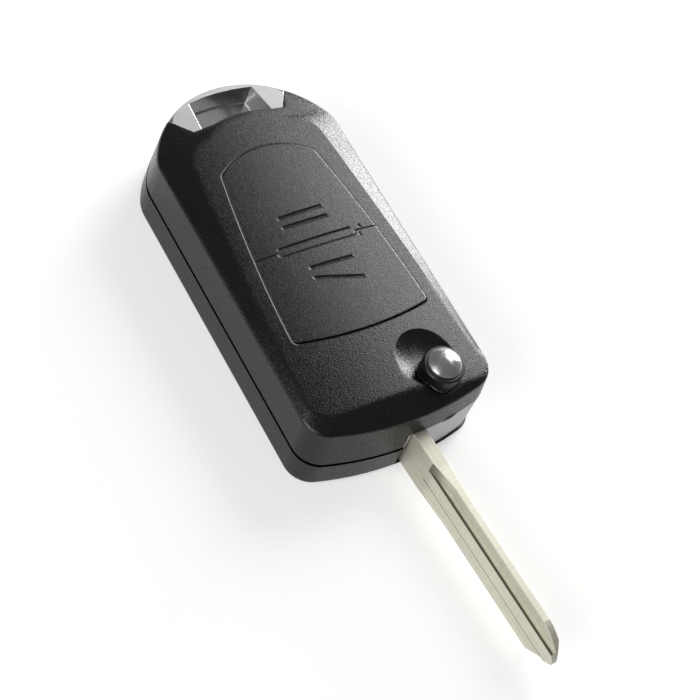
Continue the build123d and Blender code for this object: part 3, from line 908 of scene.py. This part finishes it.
class FLIPKEY_OT_inside(bpy.types.Operator):
    """Finish the pieces inside the case"""

    bl_idname = "flipkey.inside"
    bl_label = "Finish inner pieces"

    tray_grain_share = 0.7
    tray_depth_share = 0.3
    tray_roughness = 0.5
    steel_roughness = 0.32

    def execute(self, context):
        colours = context.scene.flipkey_colours
        texture = context.scene.flipkey_texture
        dress("keypad_membrane", soft_rubber("membrane_rubber", colours.rubber))
        grain = (texture.grain_size * self.tray_grain_share, texture.grain_depth * self.tray_depth_share)
        tray = moulded_plastic("tray_plastic", colours.case, grain, self.tray_roughness, texture.edge)
        dress("board_tray", tray)
        steel = drawn_steel("screw_steel", colours.steel, self.steel_roughness)
        for node in ("tray_screws", "pivot_washer"):
            dress(node, steel)
        return {"FINISHED"}


class FLIPKEY_OT_spring(bpy.types.Operator):
    """Make a smooth steel copy of the spring that sits under the release button"""

    bl_idname = "flipkey.spring"
    bl_label = "Make spring"

    steel_share = 0.8
    roughness = 0.35
    sharp_from = 40

    def execute(self, context):
        press = joint_of("release_press")
        low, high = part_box("flip_spring")
        shape = frame["nodes"]["flip_spring"]
        coil = closed_copy("flip_spring", "spring_coil")
        smooth_faces(coil.data, self.sharp_from)
        colour = tone(context.scene.flipkey_colours.steel, self.steel_share)
        coil.data.materials.append(drawn_steel("spring_steel", colour, self.roughness))
        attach(coil, shape["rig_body"])
        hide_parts("flip_spring")
        keep = 1.0 - press["range_m"][1] / (high[2] - low[2])
        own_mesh(coil)
        return {"FINISHED"}


class FLIPKEY_OT_stage(bpy.types.Operator):
    """Set the camera, the lamps, the floor and the world"""

    bl_idname = "flipkey.stage"
    bl_label = "Set the stage"

    camera_turn = (33.205, -16.134, -29.711)
    sensor_width = 36.0
    clip_start = 0.01
    lamp_distance = 0.6
    floor_reach = 3.0
    floor_gap = 0.02 * MM
    mirrored_share = 0.5

    def execute(self, context):
        studio = context.scene.flipkey_studio
        self.set_camera(context.scene, studio)
        self.set_floor(studio)
        self.set_lamp("main_lamp", bearing=27, height=41, size=(0.30, 0.29), power=studio.main_power)
        self.set_lamp("low_lamp", bearing=24, height=8, size=(0.30, 0.20), power=studio.low_power)
        self.set_lamp("fill_lamp", bearing=192, height=28, size=(0.40, 0.40), power=studio.fill_power)
        self.set_lamp("arch_lamp", bearing=57, height=34, size=(0.14, 0.10), power=studio.arch_power)
        self.set_world(context.scene, studio)
        return {"FINISHED"}

    def set_camera(self, scene, studio):
        """Camera at the photograph's viewing angle, with its turn in degrees."""
        data = bpy.data.cameras.new("photo_camera")
        data.lens = studio.lens
        data.sensor_width = self.sensor_width
        data.clip_start = self.clip_start
        camera = add_object("photo_camera", data)
        camera.location = studio.camera_place
        camera.rotation_euler = [math.radians(angle) for angle in self.camera_turn]
        scene.camera = camera

    def set_lamp(self, name, bearing, height, size, power):
        """Soft box that faces the object from a bearing and a height in degrees."""
        rise = math.radians(height)
        turn = math.radians(bearing)
        away = Vector((math.cos(rise) * math.cos(turn), math.cos(rise) * math.sin(turn), math.sin(rise)))
        data = bpy.data.lights.new(name, "AREA")
        data.shape = "RECTANGLE"
        data.size, data.size_y = size
        data.energy = power
        lamp = add_object(name, data)
        lamp.location = away * self.lamp_distance
        lamp.rotation_euler = (-away).to_track_quat("-Z", "Y").to_euler()
        lamp.visible_camera = False

    def set_floor(self, studio):
        """Pale floor that glows for the camera and, less, in reflections."""
        reach = self.floor_reach
        data = bpy.data.meshes.new("floor")
        corners = [(-reach, -reach, 0), (reach, -reach, 0), (reach, reach, 0), (-reach, reach, 0)]
        data.from_pydata(corners, [], [(0, 1, 2, 3)])
        floor = add_object("floor", data)
        floor.location.z = -self.floor_gap
        finish = new_finish("floor_paper")
        matt = finish.node("ShaderNodeBsdfDiffuse", {}, {"Color": tone(studio.floor_colour)})
        seen = finish.node("ShaderNodeLightPath", output="Is Camera Ray")
        mirrored = finish.node("ShaderNodeLightPath", output="Is Glossy Ray")
        strength = seen.larger(mirrored * self.mirrored_share) * studio.floor_glow
        glow = finish.node("ShaderNodeEmission", {}, {"Strength": strength})
        both = finish.node("ShaderNodeAddShader", {}, {0: matt, 1: glow})
        data.materials.append(finish.close(both))

    def set_world(self, scene, studio):
        """Even light all round, which the camera sees as white."""
        world = bpy.data.worlds.new("studio_world")
        scene.world = world
        finish = Finish(world)
        seen = finish.node("ShaderNodeLightPath", output="Is Camera Ray")
        light = finish.node("ShaderNodeBackground", {}, {"Color": WHITE, "Strength": studio.world_light})
        white = finish.node("ShaderNodeBackground", {}, {"Color": WHITE, "Strength": 1.0})
        both = finish.node("ShaderNodeMixShader", {}, {0: seen, 1: light, 2: white})
        finish.node("ShaderNodeOutputWorld", {}, {"Surface": both})
        scene.view_settings.view_transform = "Standard"


class FLIPKEY_PT_panel(bpy.types.Panel):
    """Sidebar panel that lists the steps and settings"""

    bl_idname = "FLIPKEY_PT_panel"
    bl_label = "Flip Key"
    bl_space_type = "VIEW_3D"
    bl_region_type = "UI"
    bl_category = "Flip Key"

    def draw(self, context):
        for operator in OPERATORS:
            self.layout.operator(operator.bl_idname)
        for group_name, group in GROUPS.items():
            settings = getattr(context.scene, group_name)
            column = self.layout.column(align=True)
            for setting in group.__annotations__:
                column.prop(settings, setting)


OPERATORS = (
    FLIPKEY_OT_covers,
    FLIPKEY_OT_keys,
    FLIPKEY_OT_chrome,
    FLIPKEY_OT_blade,
    FLIPKEY_OT_button,
    FLIPKEY_OT_inside,
    FLIPKEY_OT_spring,
    FLIPKEY_OT_stage,
)
GROUPS = {
    "flipkey_colours": ShellColours,
    "flipkey_texture": ShellTexture,
    "flipkey_marks": KeyMarks,
    "flipkey_studio": Studio,
}


def register():
    for group_name, group in GROUPS.items():
        bpy.utils.register_class(group)
        setattr(bpy.types.Scene, group_name, PointerProperty(type=group))
    for member in (*OPERATORS, FLIPKEY_PT_panel):
        bpy.utils.register_class(member)


def unregister():
    for member in (FLIPKEY_PT_panel, *reversed(OPERATORS)):
        bpy.utils.unregister_class(member)
    for group_name, group in GROUPS.items():
        delattr(bpy.types.Scene, group_name)
        bpy.utils.unregister_class(group)


def main():
    """Register the add-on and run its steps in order."""
    register()
    for operator in OPERATORS:
        family, step = operator.bl_idname.split(".")
        getattr(getattr(bpy.ops, family), step)()


if __name__ == "__main__":
    main()
